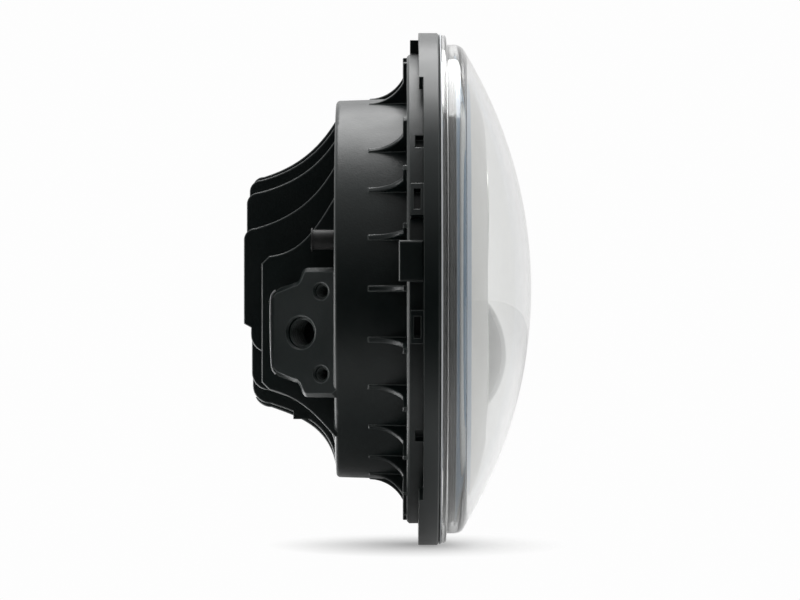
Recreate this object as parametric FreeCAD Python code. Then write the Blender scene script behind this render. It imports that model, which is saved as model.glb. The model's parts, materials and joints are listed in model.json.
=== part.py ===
# Round LED headlight for a motorbike: a die-cast black heat sink housing with upright
# cooling fins and a rim, a domed clear lens, and four light units behind a silver bezel.
#
# Frame, in millimetres: +X is the way the beam goes, +Z is up, and the origin is on the
# optical axis, half way through the rim band. "left" is the side at +Y.
import FreeCAD, Part
import math
import os

V = FreeCAD.Vector
LEFT, RIGHT = 1, -1
SIDES = {"left": LEFT, "right": RIGHT}

# Rim band, the widest piece
rimRadius = 89.0
rimWidth = 5.5
rimBack = -rimWidth / 2
rimFront = rimWidth / 2
rimPadDepth = 1.5            # the top and bottom stretches of the band are deeper by this
rimPadWidth = 5.0
rimPadInnerRadius = rimRadius - rimPadWidth
rimPadAngles = [90.0, -90.0]
rimPadHalfAngle = 37.0
rimEdge = 0.6
hookAngles = [90.0, 20.0, -8.5, 160.0, 188.5]
hookDepth = 4.4
hookInset = 2.5              # the hooks' outside below the band's
hookHalfAngle = 3.7
hookWall = 1.0
hookWindowDepth = 3.4
hookWindowHalfAngle = 2.4
hookOuterRadius = rimRadius - hookInset

# Cast housing: flange, drum, rear wall
flangeThick = 5.5
flangeInset = 7.5            # the flange's edge below the band's
flangeRadius = rimRadius - flangeInset
flangeBack = rimBack - flangeThick
flangeChamfer = 0.8
flangeLedge = 15.2           # how far the flange stands out over the drum
drumRadiusFront = flangeRadius - flangeLedge
drumDraft = 0.8
drumRadiusBack = drumRadiusFront - drumDraft
rimLip = 1.3                 # how far the band's inner edge reaches in past the drum
rimInnerRadius = drumRadiusFront - rimLip
drumDepth = 24.5             # from the flange's back to the drum's rear edge
drumBack = flangeBack - drumDepth
drumWall = 3.8
drumInnerRadius = drumRadiusFront - drumWall
drumEdgeFillet = 1.5
rearWall = 4.0
wallInside = drumBack + rearWall

# Gussets between the drum and the flange
gussetCount = 24
gussetThick = 1.8
gussetRadius = 13.0          # of the hollow edge
gussetTopInset = 1.1         # the gusset's end below the flange's edge
gussetTopRadius = flangeRadius - gussetTopInset
gussetStandOff = 1.4         # how far the gusset stands behind the flange at its outer end
gussetSkipped = [60.0, 120.0]
gussetRound = 0.4

# Locating blocks and pockets on the flange
blockDepth = 8.25
blockInset = 4.0             # the block's face below the band's edge
blockFace = rimRadius - blockInset
blockSink = 11.0             # how far the block reaches into the flange from its face
blockLow = 2.3
blockHigh = 15.8
blockRound = 0.8
pocketAngles = [37.0, 143.0, -37.0, -143.0]
pocketHalfAngle = 1.8
pocketWidth = 2.5
pocketDepth = 2.8

# Cooling fins: upright plates, their outline narrower away from the middle
finPitch = 9.5
finPairs = 4
finThick = 2.4
finRearX = drumBack - 29.0
finRearStep = 0.67           # each fin outwards reaches this much further back
finLowX = drumBack - 28.6    # the rear edge below the step
finStepZ = -12.6
finRearHalfHeight = 39.0
finRearHalfWidth = 36.4
finRearPower = 2.5
finRootInset = 6.6           # the fins' roots inside the drum's edge, at the top
finRootHalfHeight = drumRadiusBack - finRootInset
finRootNarrow = 18.2         # and at the sides
finRootHalfWidth = drumRadiusBack - finRootNarrow
finLowHalfHeight = 41.1      # the same two heights below the middle
finLowRootInset = 3.2
finLowRootHalfHeight = drumRadiusBack - finLowRootInset
finCorner = 4.0
finLowCorner = 6.0
finRound = 0.5               # of the fins' free edges
finSink = 1.0                # how deep castings run into each other

# Rib across the middle fins, below the cable inlet
crossRibFront = drumBack - 8.0
crossRibBack = drumBack - 14.65
crossRibLowZ = -44.9
crossRibFins = 2             # how many fins it joins on each side

# Side walls behind the mounting pads
sideWallInset = 22.7
sideWallY = drumRadiusBack - sideWallInset
sideWallThick = 2.6
sideWallRearX = drumBack - 24.6
sideWallMargin = 4.0         # how far the wall shows over the pad
sideWallCorner = 2.5
sideWallRootTop = 31.0
sideWallRootBottom = -50.0

# Tilted mounting pads
padTilt = 28.0
padRootInset = 10.0          # the face at the drum's rear, inside the drum's side
padRootY = drumRadiusBack - padRootInset
padCentreZ = -14.8
padLength = 25.5
padHalfWide = 21.8
padHalfNarrow = 14.4
padThick = 14.0
padChamfer = 1.4
padSink = 3.0                # how far the pad runs into the drum
padNeck = 10.8               # where the pad starts to narrow, along its face
padWaist = 16.0              # where it has narrowed
padTaper = 2.4               # how much it narrows from there to its end
padCorner = 2.5
padMainBore = 5.2
padMainAlong = 12.9
padMainDepth = 11.0
padSmallBore = 2.5
padSmallAlong = 5.1
padSmallSpacing = 27.8
padSmallDepth = 8.0
padBoreMouth = 0.6

# Lens
lensWall = 2.4
lensFlangeInset = 0.7        # the lens flange's edge below the band's
lensFlangeWidth = 3.9
lensFlangeRadius = rimRadius - lensFlangeInset
lensOuterRadius = lensFlangeRadius - lensFlangeWidth
lensInnerRadius = lensOuterRadius - lensWall
lensFlangeThick = 2.1
lensFlangeRound = 0.9
lensSealThick = 0.5
lensSealInset = 0.5
lensDomeRadius = 158.8
lensCornerRadius = 2.6
lensBack = rimFront + lensSealThick
lensWallDepth = 5.414        # from the flange's front to where wall and dome would meet
lensEdgeX = lensBack + lensFlangeThick + lensWallDepth
lensCentreX = lensEdgeX - math.sqrt(lensDomeRadius ** 2 - lensOuterRadius ** 2)
lensApexX = lensCentreX + lensDomeRadius


def domeX(radius, shrink=0.0):
    """X of the lens's dome at a distance from the axis."""
    return lensCentreX + math.sqrt((lensDomeRadius - shrink) ** 2 - radius ** 2)


# Seal between the housing and the rim
sealGap = 0.7                # outside the drum's line
sealWidth = 3.0
sealInnerRadius = drumRadiusFront + sealGap
sealOuterRadius = sealInnerRadius + sealWidth
sealDepth = 1.5

# Driver board on its posts
driverBoardGap = 11.5        # to the drum's inside
driverBoardRadius = drumInnerRadius - driverBoardGap
driverBoardHole = 20.0
driverPostHeight = 6.0
driverPostRadius = 4.0
driverPostInset = 6.0        # the posts' circle below the board's edge
driverPostCircle = driverBoardRadius - driverPostInset
driverPostAngles = [30.0, 150.0, 210.0, 330.0]
boardThick = 1.6
coilRadius = 6.5
coilHeight = 7.0
coilInset = 17.0             # each circle below the board's edge
coilCircle = driverBoardRadius - coilInset
coilAngles = [75.0, 105.0]
capRadius = 4.0
capHeight = 7.5
capInset = 15.0
capCircle = driverBoardRadius - capInset
capAngles = [0.0, 18.0, 180.0]
switchThick = 3.2
switchWide = 7.0
switchLong = 9.0
switchInset = 16.5
switchCircle = driverBoardRadius - switchInset
switchAngles = [-30.0, -50.0, -130.0, -150.0, 48.0, 132.0]

# Carrier plate on the middle pedestal and on pillars at the drum's wall
pedestalRadius = 18.0
plateThick = 4.0
pillarInset = 5.0            # the pillars' circle below the drum's inside
pillarCircle = drumInnerRadius - pillarInset
pillarRadius = 4.5
pedestalHeight = 18.0
plateGap = 0.4
pillarCount = 6
plateBack = wallInside + pedestalHeight
plateFront = plateBack + plateThick
plateRadius = drumInnerRadius - plateGap
plateWireHole = 1.8
plateWireHoleGap = 3.0       # from the pedestal's side to the hole's
plateWireHoleY = pedestalRadius + plateWireHoleGap + plateWireHole

# Light units
unitY = 24.0
lowUnitZ = -22.0
highUnitZ = 22.0
ledBoardRadius = 11.0
ledBoardFront = plateFront + boardThick
ledChipSize = 6.5
ledChipThick = 0.8
ledScrewSpacing = 17.6

# Bezel and light ring
frameThick = 2.5
frameFront = rimFront + frameThick
frameGap = 0.5               # between the optic frame and the lens wall
frameWidth = 15.0
frameOuterRadius = lensInnerRadius - frameGap
frameInnerRadius = frameOuterRadius - frameWidth
frameLipWidth = 2.1          # the optic frame's lip round the light ring
frameLipHeight = 3.55
frameLipInner = frameOuterRadius - frameLipWidth
frameLipFront = frameFront + frameLipHeight
frameStepHeights = [1.15, 2.15]   # the lip's outside steps in at these heights
frameStepWidth = 0.45
ringGap = 0.3
ringOuterRadius = frameLipInner - ringGap
ringFoot = 0.8
ringHeadInset = 0.9          # the light ring's head below the optic frame's edge
ringHeadRadius = frameOuterRadius - ringHeadInset
ringHeadGap = 0.8            # between the head and the lens
bezelSideInset = 4.1         # the mask's side below the ring board's edge
bezelSideRadius = ringOuterRadius - bezelSideInset
bezelRoll = 14.5             # from the mask's side in to the edge of its face
bezelFaceRadius = bezelSideRadius - bezelRoll
bezelWall = 1.5
bezelLensGap = 3.0           # between the mask's face and the lens
bezelFront = domeX(bezelFaceRadius, lensWall) - bezelLensGap
bezelBack = bezelFront - bezelWall
bezelShoulderGap = 1.7       # between the mask's shoulder and the lens
bezelShoulderX = domeX(bezelSideRadius, lensWall) - bezelShoulderGap
bezelBulgeX = 3.15
bezelBulgeR = 8.1
lowOpeningGap = 0.2
highOpening = 17.3
collarWidth = 2.0
collarHeight = 1.0
ringLedCount = 24
ringLedSize = 2.4
ringLedThick = 0.6

# Low beam lens and its holder
lowLensRadius = 19.3
lowLensLand = 1.1            # the flat ring round the lens's dome, which the mask holds
lowLensDomeEdge = lowLensRadius - lowLensLand
lowOpening = lowLensDomeEdge + lowOpeningGap
lowLensDomeRadius = 28.7
lowLensRise = 7.55           # how far the dome stands out of the mask
lowLensApexX = bezelFront + lowLensRise
lowLensEdge = 3.8
holderFit = 0.15
holderWall = 1.7
holderLedge = 2.0
holderBaseRadius = 15.6
holderFlare = 5.0
holderFootWidth = 2.0
holderFootThick = 1.6
holderSlotWidth = 7.0
holderSlotStart = 4.0        # above the carrier plate
holderSlotCount = 3
holderSlotFirst = 30.0

# High beam reflector
reflectorMouth = 17.5
reflectorThroat = 5.0
reflectorWall = 1.4
reflectorLip = 1.6

# Cable inlet: a boss with a gland, without its cable
inletZ = -26.0
inletBossRadius = 10.5
inletBossDepth = 9.25
inletPocketRadius = 12.9
inletBore = 6.2
glandBore = 4.2
glandFit = 0.05
glandCollarWidth = 18.0      # across the flats
glandCollarDepth = 4.0
glandSleeveRadius = 7.0
glandSleeveDepth = 4.0
glandNutWidth = 17.0         # across the flats
glandNutDepth = 10.0
glandNutEnd = 1.5
grommetBore = 3.2
grommetDepth = 5.0

# Breather vent
ventInset = 12.5
ventY = ventInset - drumRadiusBack
ventZ = 16.4
ventRadius = 3.35
ventDepth = 7.7
ventStem = 2.0
ventDisc = 0.6               # the disc on its end stands out by this
ventDiscThick = 0.55

# Screws: shank radius, head radius, head height
rimScrew = (2.0, 3.6, 2.6)
plateScrew = (1.8, 3.2, 2.2)
smallScrew = (1.1, 2.1, 1.5)
screwRecess = 0.5            # the driver recess's share of a head's radius and height
screwClearance = 0.25
rimScrewInset = 6.0          # the screws' circle below the flange's edge
rimScrewCircle = flangeRadius - rimScrewInset
rimScrewCount = 8
rimScrewFirst = 22.5
rimScrewLength = 7.0
counterboreDepth = 3.2
counterboreRadius = 4.1
frameScrewInset = 10.5       # the screws' circle below the optic frame's edge
frameScrewCount = 6
frameScrewFirst = 30.0
frameScrewLength = 6.0
frameScrewCircle = frameOuterRadius - frameScrewInset
plateScrewLength = 10.0
driverScrewLength = 5.5
ledScrewLength = 4.5


def rod(xBack, xFront, radius, y=0.0, z=0.0):
    """A cylinder along X."""
    return Part.makeCylinder(radius, xFront - xBack, V(xBack, y, z), V(1, 0, 0))


def tube(xBack, xFront, outer, inner, y=0.0, z=0.0):
    """A ring along X, its bore cut clean through."""
    return rod(xBack, xFront, outer, y, z).cut(rod(xBack - 1, xFront + 1, inner, y, z))


def outline(start, steps):
    """A closed wire in the XZ plane. A step is a point to go straight to, a middle and an
    end for an arc, or two handles and an end for a Bezier curve."""
    edges = []
    here = V(start[0], 0, start[1])
    for step in steps:
        if isinstance(step[0], tuple):
            points = [V(p[0], 0, p[1]) for p in step]
            end = points[-1]
            if len(points) == 2:
                edges.append(Part.Arc(here, points[0], end).toShape())
            else:
                curve = Part.BezierCurve()
                curve.setPoles([here] + points)
                edges.append(curve.toShape())
        else:
            end = V(step[0], 0, step[1])
            edges.append(Part.makeLine(here, end))
        here = end
    first = V(start[0], 0, start[1])
    if here.distanceToPoint(first) > 1e-6:
        edges.append(Part.makeLine(here, first))
    return Part.Wire(edges)


def turned(start, steps):
    """A solid turned about the X axis from its half outline of (x, radius) points."""
    return Part.Face(outline(start, steps)).revolve(V(0, 0, 0), V(1, 0, 0), 360)


def plate(start, steps, y, thick):
    """A flat plate parallel to XZ, its middle at y."""
    face = Part.Face(outline(start, steps))
    face.translate(V(0, y - thick / 2, 0))
    return face.extrude(V(0, thick, 0))


def around(shape, angle):
    """A copy turned about the X axis; 0 is the right side, at -Y, and 90 the top."""
    copy = shape.copy()
    copy.rotate(V(0, 0, 0), V(1, 0, 0), -angle)
    return copy


def spot(circle, angle):
    """The y and z of a point on a circle about the axis, with the angles of around."""
    return -circle * math.cos(math.radians(angle)), circle * math.sin(math.radians(angle))


def evenAngles(count, first=0.0):
    return [first + 360.0 * i / count for i in range(count)]


def arcBlock(xBack, xFront, inner, outer, middle, half):
    """A sector of a ring, from inner to outer radius, half an angle each way."""
    start = V(xBack, *spot(inner, middle - half))
    profile = Part.makePolygon([
        start, V(xFront, *spot(inner, middle - half)), V(xFront, *spot(outer, middle - half)),
        V(xBack, *spot(outer, middle - half)), start])
    return Part.Face(profile).revolve(V(0, 0, 0), V(-1, 0, 0), 2 * half)


def mirrored(shape):
    """The same piece on the other side."""
    return shape.mirror(V(0, 0, 0), V(0, 1, 0))


def hexRod(xBack, xFront, acrossFlats, y=0.0, z=0.0):
    corner = acrossFlats / math.sqrt(3)
    points = [V(xBack, y + corner * math.cos(math.radians(60 * i)),
                z + corner * math.sin(math.radians(60 * i))) for i in range(7)]
    return Part.Face(Part.makePolygon(points)).extrude(V(xFront - xBack, 0, 0))


def screw(size, length, seatX, y, z, facing):
    """A cap screw with its head's seat at seatX; facing is +1 when the head is in front."""
    shank, head, height = size
    body = rod(-length, 0, shank).fuse(rod(0, height, head))
    body = body.cut(hexRod(height * screwRecess, height + 1, 2 * head * screwRecess))
    if facing < 0:
        body = body.mirror(V(0, 0, 0), V(1, 0, 0))
    body.translate(V(seatX, y, z))
    return body


def squareRoom(halfHeight, halfWidth, power, y):
    """Half height of a superellipse at the distance y from its middle."""
    return halfHeight * (1 - (abs(y) / halfWidth) ** power) ** (1 / power)


def rounded(shape, radius, chosen):
    """The shape with a fillet on the edges whose ends all satisfy chosen."""
    edges = [edge for edge in shape.Edges if all(chosen(v.Point) for v in edge.Vertexes)]
    return shape.makeFillet(radius, edges)


def freeEdges(shape, radius, y, thick, frontX):
    """A plate with its outline rounded on both sides, wherever it stands behind frontX."""
    edges = []
    for edge in shape.Edges:
        ends = [v.Point for v in edge.Vertexes]
        for face in (y - thick / 2, y + thick / 2):
            if all(abs(p.y - face) < 1e-6 and p.x < frontX + 1e-6 for p in ends):
                edges.append(edge)
    return shape.makeFillet(radius, edges)


def fin(index):
    """Cooling fin number index, counted outwards from the middle, on the left side."""
    y = finPitch * (index + 0.5)
    rear = finRearX - finRearStep * index
    rearZ = squareRoom(finRearHalfHeight, finRearHalfWidth, finRearPower, y)
    rootZ = squareRoom(finRootHalfHeight, finRootHalfWidth, 2, y)
    lowZ = squareRoom(finLowHalfHeight, finRearHalfWidth, finRearPower, y)
    lowRootZ = squareRoom(finLowRootHalfHeight, finRootHalfWidth, 2, y)
    inside = drumBack + finSink
    bulge = finCorner * (1 - math.sqrt(0.5))
    lowBulge = finLowCorner * (1 - math.sqrt(0.5))
    drop, lowDrop = rootZ - rearZ, lowRootZ - lowZ
    steps = [(drumBack, rootZ),
             ((drumBack - 5.0, rootZ - 0.42 * drop), (drumBack - 12.0, rearZ + 0.2 * drop),
              (rear + finCorner, rearZ)),
             ((rear + bulge, rearZ - bulge), (rear, rearZ - finCorner)),
             (rear, finStepZ + finRearStep),
             (finLowX, finStepZ - finRearStep),
             (finLowX, finLowCorner - lowZ),
             ((finLowX + lowBulge, lowBulge - lowZ), (finLowX + finLowCorner, -lowZ)),
             ((drumBack - 13.2, -lowZ - 0.16 * lowDrop), (drumBack - 2.3, -lowZ - 0.31 * lowDrop),
              (drumBack, -lowRootZ)),
             (inside, -lowRootZ)]
    return freeEdges(plate((inside, rootZ), steps, y, finThick), finRound, y, finThick, drumBack)


def sideWall():
    """The upright wall that stands behind a mounting pad, on the left side."""
    inside = drumBack + finSink
    rear = sideWallRearX
    corner = sideWallCorner
    top = padCentreZ + padHalfWide + sideWallMargin
    bottom = padCentreZ - padHalfWide + corner
    topSpan, bottomSpan = sideWallRootTop - top, bottom - sideWallRootBottom
    steps = [(drumBack, sideWallRootTop),
             ((drumBack - 7.0, top + 0.4 * topSpan), (drumBack - 12.0, top + 0.05 * topSpan),
              (rear + corner, top)),
             (rear, top - corner), (rear, bottom + corner), (rear + corner, bottom),
             ((drumBack - 12.0, bottom - 0.17 * bottomSpan),
              (drumBack - 7.0, bottom - 0.48 * bottomSpan), (drumBack, sideWallRootBottom)),
             (inside, sideWallRootBottom)]
    wall = plate((inside, sideWallRootTop), steps, sideWallY, sideWallThick)
    return freeEdges(wall, finRound, sideWallY, sideWallThick, drumBack)


def padPoint(along, across, depth=0.0):
    """A point of the left pad: along its face from the drum, across it, and below it."""
    tilt = math.radians(padTilt)
    return V(drumBack - along * math.cos(tilt) + depth * math.sin(tilt),
             padRootY - along * math.sin(tilt) - depth * math.cos(tilt),
             padCentreZ + across)


def padNormal():
    tilt = math.radians(padTilt)
    return V(-math.sin(tilt), math.cos(tilt), 0)


def padBody():
    """The left pad without its holes: a waisted plate with a chamfered face."""
    narrow = padHalfNarrow + padTaper
    middle = (padNeck + padWaist) / 2
    half = (padHalfWide + narrow) / 2
    handle = (padWaist - padNeck) * 0.15
    edges = []

    def side(sign):
        first = Part.BezierCurve()
        first.setPoles([padPoint(padNeck, sign * padHalfWide),
                        padPoint(middle - handle, sign * padHalfWide),
                        padPoint(middle, sign * half)])
        second = Part.BezierCurve()
        second.setPoles([padPoint(middle, sign * half),
                         padPoint(middle + handle, sign * narrow),
                         padPoint(padWaist, sign * narrow)])
        return [Part.makeLine(padPoint(-padSink, sign * padHalfWide),
                              padPoint(padNeck, sign * padHalfWide)),
                first.toShape(), second.toShape(),
                Part.makeLine(padPoint(padWaist, sign * narrow),
                              padPoint(padLength - padCorner, sign * padHalfNarrow)),
                Part.makeLine(padPoint(padLength - padCorner, sign * padHalfNarrow),
                              padPoint(padLength, sign * (padHalfNarrow - padCorner)))]

    edges += side(1) + side(-1)
    edges.append(Part.makeLine(padPoint(padLength, padHalfNarrow - padCorner),
                               padPoint(padLength, padCorner - padHalfNarrow)))
    edges.append(Part.makeLine(padPoint(-padSink, padHalfWide),
                               padPoint(-padSink, -padHalfWide)))
    face = Part.Face(Part.Wire(Part.__sortEdges__(edges)))
    body = face.extrude(padNormal() * -padThick)
    rimEdges = [edge for edge in body.Edges
                if all(abs((v.Point - padPoint(0, 0)).dot(padNormal())) < 1e-4
                       for v in edge.Vertexes)]
    return body.makeChamfer(padChamfer, rimEdges)


def padHole(radius, depth, along, across):
    """A blind hole square to the left pad, with a countersunk mouth."""
    mouth = padPoint(along, across)
    inwards = padNormal() * -1
    hole = Part.makeCylinder(radius, depth, mouth, inwards)
    sink = Part.makeCone(radius + padBoreMouth, radius, padBoreMouth, mouth, inwards)
    return hole.fuse(sink)


def gusset():
    """One thin web with a hollow edge, at the angle 0."""
    tip = flangeBack - gussetRadius
    foot = drumRadiusFront - 1.0
    outerEnd = flangeBack - gussetStandOff
    rise = math.sqrt(gussetRadius ** 2 - (outerEnd - tip) ** 2)
    centreR = drumRadiusFront + gussetRadius
    half = math.asin((outerEnd - tip) / gussetRadius) / 2
    middle = (tip + gussetRadius * math.sin(half), centreR - gussetRadius * math.cos(half))
    steps = [(tip, drumRadiusFront - 0.05), (middle, (outerEnd, centreR - rise)),
             (outerEnd, gussetTopRadius), (flangeBack + finSink, gussetTopRadius),
             (flangeBack + finSink, foot)]
    web = plate((tip, foot), steps, 0, gussetThick)
    web = rounded(web, gussetRound, lambda p: p.x < flangeBack - 0.1 and p.z > foot + 0.1)
    web.rotate(V(0, 0, 0), V(1, 0, 0), 90)
    return web


def castBody():
    """Flange, drum and rear wall, turned as one."""
    diagonal = drumEdgeFillet * (1 - math.sqrt(0.5))
    return turned((wallInside, 0), [
        (wallInside, drumInnerRadius), (rimBack, drumInnerRadius), (rimBack, flangeRadius),
        (flangeBack + flangeChamfer, flangeRadius),
        (flangeBack, flangeRadius - flangeChamfer), (flangeBack, drumRadiusFront),
        (drumBack + drumEdgeFillet, drumRadiusBack),
        ((drumBack + diagonal, drumRadiusBack - diagonal),
         (drumBack, drumRadiusBack - drumEdgeFillet)),
        (drumBack, 0)])


def housing():
    """The whole casting, with its drilled and tapped holes."""
    body = castBody()
    fins = []
    for index in range(finPairs):
        fins += [fin(index), mirrored(fin(index))]
    pocket = rod(finRearX - 20, drumBack + finSink / 2, inletPocketRadius, 0, inletZ)
    fins = [piece.cut(pocket) for piece in fins]
    wall = sideWall()
    pad = padBody().common(rod(drumBack - padLength - padThick, wallInside, drumRadiusBack - 0.1))
    boss = rod(drumBack - inletBossDepth, drumBack + finSink, inletBossRadius, 0, inletZ)
    gussets = [around(gusset(), a) for a in evenAngles(gussetCount)
               if round(a) not in [round(s) for s in gussetSkipped]]
    block = Part.makeBox(blockDepth, blockSink, blockHigh - blockLow,
                         V(rimBack - blockDepth, blockFace - blockSink, blockLow))
    blockBack = rimBack - blockDepth
    block = block.makeFillet(blockRound, [
        edge for edge in block.Edges
        if all(abs(v.Point.x - blockBack) < 1e-6 or abs(v.Point.y - blockFace) < 1e-6
               for v in edge.Vertexes) and edge.BoundBox.YMin > blockFace - blockSink / 2])
    ribReach = finPitch * (crossRibFins - 0.5) + finThick / 2
    rib = Part.makeBox(crossRibFront - crossRibBack, 2 * ribReach,
                       inletZ - inletPocketRadius - crossRibLowZ,
                       V(crossRibBack, -ribReach, crossRibLowZ))
    pillars = []
    for angle in evenAngles(pillarCount):
        pillars.append(rod(wallInside - finSink, plateBack, pillarRadius,
                           *spot(pillarCircle, angle)))
    posts = [rod(wallInside - finSink, wallInside + driverPostHeight, driverPostRadius,
                 *spot(driverPostCircle, a)) for a in driverPostAngles]
    pedestal = rod(wallInside - finSink, plateBack, pedestalRadius)
    body = body.fuse(fins + [wall, mirrored(wall), pad, mirrored(pad), boss, pedestal, rib]
                     + gussets + [block, mirrored(block)] + pillars + posts)
    holes = [rod(drumBack - inletBossDepth - 1, wallInside + 1, inletBore, 0, inletZ),
             rod(drumBack - 1, wallInside + 1, ventStem + glandFit, ventY, ventZ)]
    for hole in [padHole(padMainBore, padMainDepth, padMainAlong, 0),
                 padHole(padSmallBore, padSmallDepth, padSmallAlong, padSmallSpacing / 2),
                 padHole(padSmallBore, padSmallDepth, padSmallAlong, -padSmallSpacing / 2)]:
        holes += [hole, mirrored(hole)]
    for angle in evenAngles(rimScrewCount, rimScrewFirst):
        place = spot(rimScrewCircle, angle)
        holes.append(rod(flangeBack - 1, flangeBack + counterboreDepth, counterboreRadius, *place))
        holes.append(rod(flangeBack, rimBack + 1, rimScrew[0] + screwClearance, *place))
    for angle in evenAngles(pillarCount):
        holes.append(rod(plateFront - plateScrewLength - 1, plateBack + 1, plateScrew[0],
                         *spot(pillarCircle, angle)))
    for angle in driverPostAngles:
        holes.append(rod(wallInside + driverPostHeight + boardThick - driverScrewLength - 0.5,
                         wallInside + driverPostHeight + 1, smallScrew[0],
                         *spot(driverPostCircle, angle)))
    for angle in pocketAngles:
        holes.append(arcBlock(rimBack - pocketDepth, rimBack + 1, flangeRadius - pocketWidth,
                              flangeRadius + pocketWidth, angle, pocketHalfAngle))
    holes.append(tube(rimBack - sealDepth, rimBack + 1, sealOuterRadius, sealInnerRadius))
    return body.cut(holes)


def rimRing():
    """The band round the lamp, with its deeper stretches and its hooks."""
    band = turned((rimBack, rimInnerRadius), [
        (rimFront, rimInnerRadius), (rimFront, rimRadius - rimEdge),
        (rimFront - rimEdge, rimRadius), (rimBack, rimRadius)])
    extras = [arcBlock(rimBack - rimPadDepth, rimBack + finSink, rimPadInnerRadius,
                       rimRadius, a, rimPadHalfAngle) for a in rimPadAngles]
    for angle in hookAngles:
        hook = arcBlock(rimBack - hookDepth, rimBack + finSink, flangeRadius + ringGap,
                        hookOuterRadius, angle, hookHalfAngle)
        window = arcBlock(rimBack - hookDepth + hookWall, rimBack - hookWall,
                          hookOuterRadius - hookWindowDepth, hookOuterRadius + 1,
                          angle, hookWindowHalfAngle)
        extras.append(hook.cut(window))
    band = band.fuse(extras)
    holes = []
    for angle in evenAngles(rimScrewCount, rimScrewFirst):
        holes.append(rod(rimBack - 3, flangeBack + counterboreDepth + rimScrewLength + 0.5,
                         rimScrew[0], *spot(rimScrewCircle, angle)))
    for angle in evenAngles(frameScrewCount, frameScrewFirst):
        holes.append(rod(frameFront - frameScrewLength - 0.5, rimFront + 1, smallScrew[0],
                         *spot(frameScrewCircle, angle)))
    return band.cut(holes)


def lensCover():
    """The clear cover: flange, short wall and dome in one moulding."""
    inner = lensInnerRadius
    corner = lensCornerRadius
    turnR = lensOuterRadius - corner * 0.35
    turnX = domeX(lensOuterRadius) - corner * 0.35
    return turned((lensBack, inner), [
        (lensBack, lensFlangeRadius - lensSealInset),
        (lensBack + lensSealInset, lensFlangeRadius),
        (lensBack + lensFlangeThick - lensFlangeRound, lensFlangeRadius),
        (lensBack + lensFlangeThick, lensFlangeRadius - lensFlangeRound),
        (lensBack + lensFlangeThick, lensOuterRadius),
        (domeX(lensOuterRadius) - corner, lensOuterRadius),
        ((turnX, turnR), (domeX(lensOuterRadius - corner), lensOuterRadius - corner)),
        ((domeX(lensOuterRadius / 2), lensOuterRadius / 2), (lensApexX, 0)),
        (lensApexX - lensWall, 0),
        ((domeX(inner / 2, lensWall), inner / 2), (domeX(inner, lensWall), inner))])


def lowBeamLens(side):
    """A thick plano-convex lens with a flat ring round its dome."""
    back = bezelBack - lowLensEdge
    centre = lowLensApexX - lowLensDomeRadius
    edgeX = centre + math.sqrt(lowLensDomeRadius ** 2 - lowLensDomeEdge ** 2)
    half = lowLensDomeEdge / 2
    halfX = centre + math.sqrt(lowLensDomeRadius ** 2 - half ** 2)
    lens = turned((back, 0), [(back, lowLensRadius), (bezelBack, lowLensRadius),
                              (bezelBack, lowLensDomeEdge), (edgeX, lowLensDomeEdge),
                              ((halfX, half), (lowLensApexX, 0))])
    lens.translate(V(0, side * unitY, lowUnitZ))
    return lens


def lowBeamHolder(side):
    """A flared tube that carries the low beam lens over its LED."""
    seat = bezelBack - lowLensEdge
    cup = lowLensRadius + holderFit
    footFront = plateFront + holderFootThick
    holder = turned((plateFront, holderBaseRadius - holderWall), [
        (plateFront, holderBaseRadius + holderFootWidth),
        (footFront, holderBaseRadius + holderFootWidth),
        (footFront, holderBaseRadius), (seat - holderFlare, holderBaseRadius),
        (seat - holderLedge, cup + holderWall), (bezelBack, cup + holderWall),
        (bezelBack, cup), (seat, cup), (seat, lowLensRadius - holderLedge),
        (seat - holderFlare, holderBaseRadius - holderWall)])
    slotBack = plateFront + holderSlotStart
    slotLength = seat - holderFlare - holderSlotStart / 2 - slotBack
    slots = [around(Part.makeBox(slotLength, 2 * holderBaseRadius, holderSlotWidth,
                                 V(slotBack, 0, -holderSlotWidth / 2)), a)
             for a in evenAngles(holderSlotCount, holderSlotFirst)]
    holder = holder.cut(slots)
    holder.translate(V(0, side * unitY, lowUnitZ))
    return holder


def reflector(side):
    """A parabolic cup with a lip behind the bezel and a collar on the LED board."""
    lipX = bezelBack - reflectorLip
    throatX = ledBoardFront + 2.0
    focal = (reflectorMouth ** 2 - reflectorThroat ** 2) / (4 * (bezelBack - throatX))
    poleX = throatX - reflectorThroat ** 2 / (4 * focal)

    def bowl(radius):
        return poleX + radius ** 2 / (4 * focal)

    thirds = [reflectorThroat + (reflectorMouth - reflectorThroat) * k / 3 for k in (1, 2)]
    outerThroat = reflectorThroat + reflectorWall
    lip = reflectorMouth + reflectorLip
    inner = Part.BSplineCurve()
    inner.interpolate([V(bowl(r), 0, r) for r in
                       [reflectorThroat] + thirds + [reflectorMouth]])
    outer = Part.BSplineCurve()
    outer.interpolate([V(bowl(r) - reflectorWall, 0, r + reflectorWall * 0.35) for r in
                       [reflectorThroat + reflectorWall * 0.65] + thirds + [reflectorMouth]])
    start, end = outer.StartPoint, outer.EndPoint
    corners = [end, V(lipX, 0, end.z), V(lipX, 0, lip), V(bezelBack, 0, lip),
               V(bezelBack, 0, reflectorMouth)]
    foot = [V(throatX, 0, reflectorThroat), V(ledBoardFront, 0, reflectorThroat),
            V(ledBoardFront, 0, start.z), start]
    edges = [outer.toShape()]
    edges += [Part.makeLine(a, b) for a, b in zip(corners, corners[1:])
              if a.distanceToPoint(b) > 1e-6]
    edges.append(inner.toShape())
    edges += [Part.makeLine(a, b) for a, b in zip(foot, foot[1:]) if a.distanceToPoint(b) > 1e-6]
    section = Part.Face(Part.Wire(Part.__sortEdges__(edges)))
    cup = section.revolve(V(0, 0, 0), V(1, 0, 0), 360)
    cup.translate(V(0, side * unitY, highUnitZ))
    return cup


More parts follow.
